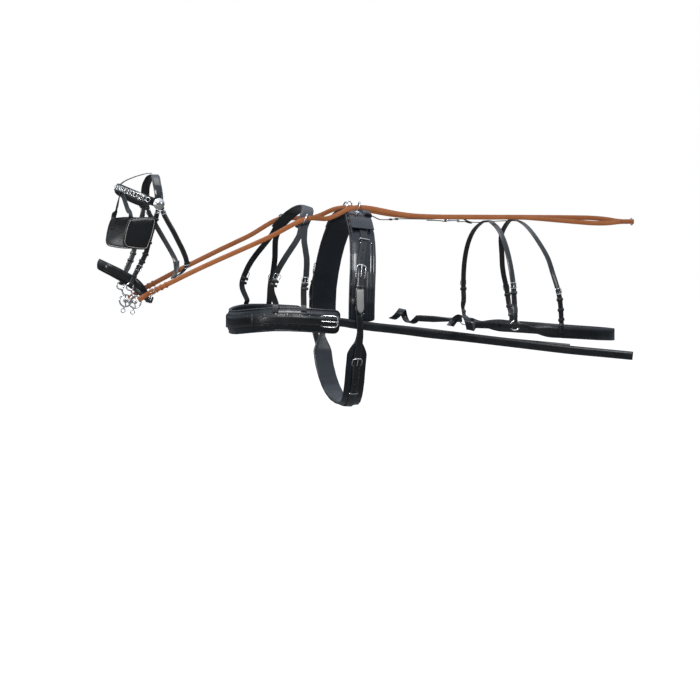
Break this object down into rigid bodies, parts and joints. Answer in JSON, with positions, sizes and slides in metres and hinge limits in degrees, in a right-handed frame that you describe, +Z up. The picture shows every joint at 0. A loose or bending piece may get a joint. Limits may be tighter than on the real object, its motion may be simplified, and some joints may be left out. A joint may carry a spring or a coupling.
{
  "type": "single horse driving harness",
  "caption": "Driving harness for one horse, as worn: bridle, bit and reins, breast collar and traces, harness saddle with shaft tugs and girth, back strap, hip straps and breeching.",
  "frame": {"origin": "seat of the harness saddle: the middle of the underside of its pad, on top of the horse's back", "axes": "-X towards the horse's head, -Y the horse's near (left) side, +Z up"},
  "size_m": [2.361, 0.856, 0.9775],
  "materials": {
    "black_leather": "polished",
    "russet_leather": "satin",
    "plated_steel": "polished"
  },
  "bodies": {
    "harness": {"crownpiece": "black_leather", "browband": "black_leather", "browband_chain": "plated_steel", "rosette_near": "plated_steel", "rosette_far": "plated_steel", "cheekpiece_near": "black_leather", "cheekpiece_far": "black_leather", "winker_near": "black_leather", "winker_far": "black_leather", "winker_stay": "black_leather", "noseband": "black_leather", "throatlatch": "black_leather", "bit_cheek_near": "plated_steel", "bit_cheek_far": "plated_steel", "rein_near": "russet_leather", "rein_far": "russet_leather", "rein_buckle": "plated_steel", "breast_collar": "black_leather", "breast_strap": "black_leather", "trace_buckle_near": "plated_steel", "trace_buckle_far": "plated_steel", "neck_strap": "black_leather", "trace_near": "black_leather", "trace_far": "black_leather", "saddle_pad": "black_leather", "saddle_seat": "black_leather", "terret_near": "plated_steel", "terret_far": "plated_steel", "check_hook": "plated_steel", "backband": "black_leather", "tug_buckle_near": "plated_steel", "tug_buckle_far": "plated_steel", "shaft_tug_near": "black_leather", "shaft_tug_far": "black_leather", "girth": "black_leather", "bellyband": "black_leather", "bellyband_billet_near": "black_leather", "bellyband_billet_far": "black_leather", "girth_buckle_near": "plated_steel", "girth_buckle_far": "plated_steel", "back_strap": "black_leather", "back_snap": "plated_steel", "croup_strap": "black_leather", "hip_strap_front": "black_leather", "hip_strap_rear": "black_leather", "breeching": "black_leather", "breeching_strap_near": "black_leather", "breeching_strap_far": "black_leather"},
    "bit_bar": {"mouthpiece": "plated_steel"},
    "near_tug_tongue": {"tug_tongue_near": "plated_steel"},
    "far_tug_tongue": {"tug_tongue_far": "plated_steel"},
    "near_trace_tongue": {"trace_tongue_near": "plated_steel"},
    "far_trace_tongue": {"trace_tongue_far": "plated_steel"},
    "near_girth_tongue": {"girth_tongue_near": "plated_steel"},
    "far_girth_tongue": {"girth_tongue_far": "plated_steel"},
    "near_neck_ring": {"neck_terret_near": "plated_steel"},
    "far_neck_ring": {"neck_terret_far": "plated_steel"},
    "near_breeching_ring": {"breeching_ring_near": "plated_steel"},
    "far_breeching_ring": {"breeching_ring_far": "plated_steel"},
    "gate": {"snap_gate": "plated_steel"}
  },
  "joints": [
    {"name": "mouthpiece_turn", "type": "hinge", "parent": "harness", "child": "bit_bar", "pos_m": [-0.965, 0, -0.345], "axis": [0, 1, 0], "range_deg": [-25, 25]},
    {"name": "tug_tongue_near_lift", "type": "hinge", "parent": "harness", "child": "near_tug_tongue", "pos_m": [-0.07469, -0.31559, -0.25475], "axis": [0.9892, -0.0584, -0.1342], "range_deg": [0, 52]},
    {"name": "tug_tongue_far_lift", "type": "hinge", "parent": "harness", "child": "far_tug_tongue", "pos_m": [-0.07469, 0.31559, -0.25475], "axis": [-0.9892, -0.0584, 0.1342], "range_deg": [0, 52]},
    {"name": "trace_tongue_near_lift", "type": "hinge", "parent": "harness", "child": "near_trace_tongue", "pos_m": [-0.24127, -0.2951, -0.42355], "axis": [-0.0559, 0.018, -0.9983], "range_deg": [0, 52]},
    {"name": "trace_tongue_far_lift", "type": "hinge", "parent": "harness", "child": "far_trace_tongue", "pos_m": [-0.24127, 0.2951, -0.42355], "axis": [0.0559, 0.018, 0.9983], "range_deg": [0, 52]},
    {"name": "girth_tongue_near_lift", "type": "hinge", "parent": "harness", "child": "near_girth_tongue", "pos_m": [-0.07095, -0.25165, -0.6123], "axis": [0.9951, -0.0991, 0.0051], "range_deg": [0, 52]},
    {"name": "girth_tongue_far_lift", "type": "hinge", "parent": "harness", "child": "far_girth_tongue", "pos_m": [-0.07095, 0.25165, -0.6123], "axis": [-0.9951, -0.0991, -0.0051], "range_deg": [0, 52]},
    {"name": "neck_terret_near_tilt", "type": "hinge", "parent": "harness", "child": "near_neck_ring", "pos_m": [-0.27527, -0.17993, -0.01887], "axis": [0.4425, 0.591, 0.6744], "range_deg": [-22, 5]},
    {"name": "neck_terret_far_tilt", "type": "hinge", "parent": "harness", "child": "far_neck_ring", "pos_m": [-0.27527, 0.17993, -0.01887], "axis": [-0.4425, 0.591, -0.6744], "range_deg": [-22, 5]},
    {"name": "breeching_ring_near_turn", "type": "hinge", "parent": "harness", "child": "near_breeching_ring", "pos_m": [0.59832, -0.32129, -0.45053], "axis": [-0.0238, -0.9802, -0.1965], "continuous": true},
    {"name": "breeching_ring_far_turn", "type": "hinge", "parent": "harness", "child": "far_breeching_ring", "pos_m": [0.59832, 0.32129, -0.45053], "axis": [-0.0238, 0.9802, -0.1965], "continuous": true},
    {"name": "snap_gate_open", "type": "hinge", "parent": "harness", "child": "gate", "pos_m": [0.4215, 0.011, -0.0145], "axis": [0, 0, -1], "range_deg": [0, 35], "stiffness_Nm_per_rad": 0.05, "springref_deg": -17.19}
  ]
}
